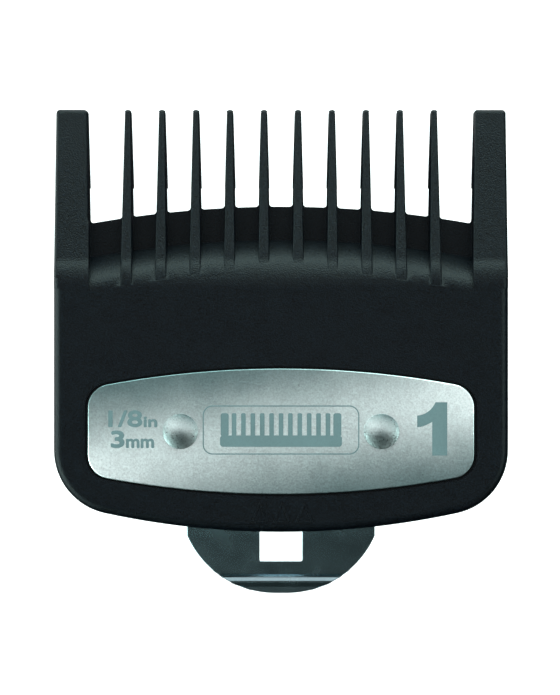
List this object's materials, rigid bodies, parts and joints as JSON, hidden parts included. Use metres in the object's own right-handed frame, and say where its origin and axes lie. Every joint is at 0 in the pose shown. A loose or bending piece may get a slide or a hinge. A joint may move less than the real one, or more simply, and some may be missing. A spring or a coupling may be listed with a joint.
{
  "type": "clipper guard comb",
  "caption": "Hair clipper guard comb: a black moulded comb with a riveted steel face plate and a spring clip that snaps over the clipper's blade.",
  "frame": {"origin": "centre of the blade seat: on the flat back of the web between the teeth, midway across the comb, where the clipper's blade rests", "axes": "+Y out of the blade seat towards the clipper, +Z along the teeth towards their tips, +X across the teeth to the right as seen from the face plate"},
  "size_m": [0.05, 0.0141, 0.0546],
  "materials": {
    "black_nylon": "fine moulded texture",
    "satin_steel": "satin, fine grain",
    "rivet_steel": "smooth",
    "spring_steel": "cold rolled, semi-bright"
  },
  "bodies": {
    "comb": {"comb_body": "black_nylon", "face_plate": "satin_steel", "rivet_left": "rivet_steel", "rivet_right": "rivet_steel", "clip_leaf": "spring_steel"},
    "clip": {"clip_tongue": "spring_steel"}
  },
  "joints": [
    {"name": "clip_flex", "type": "hinge", "parent": "comb", "child": "clip", "pos_m": [0, -0.0025, -0.0298], "axis": [-1, 0, 0], "range_deg": [0, 12], "stiffness_Nm_per_rad": 0.7}
  ]
}
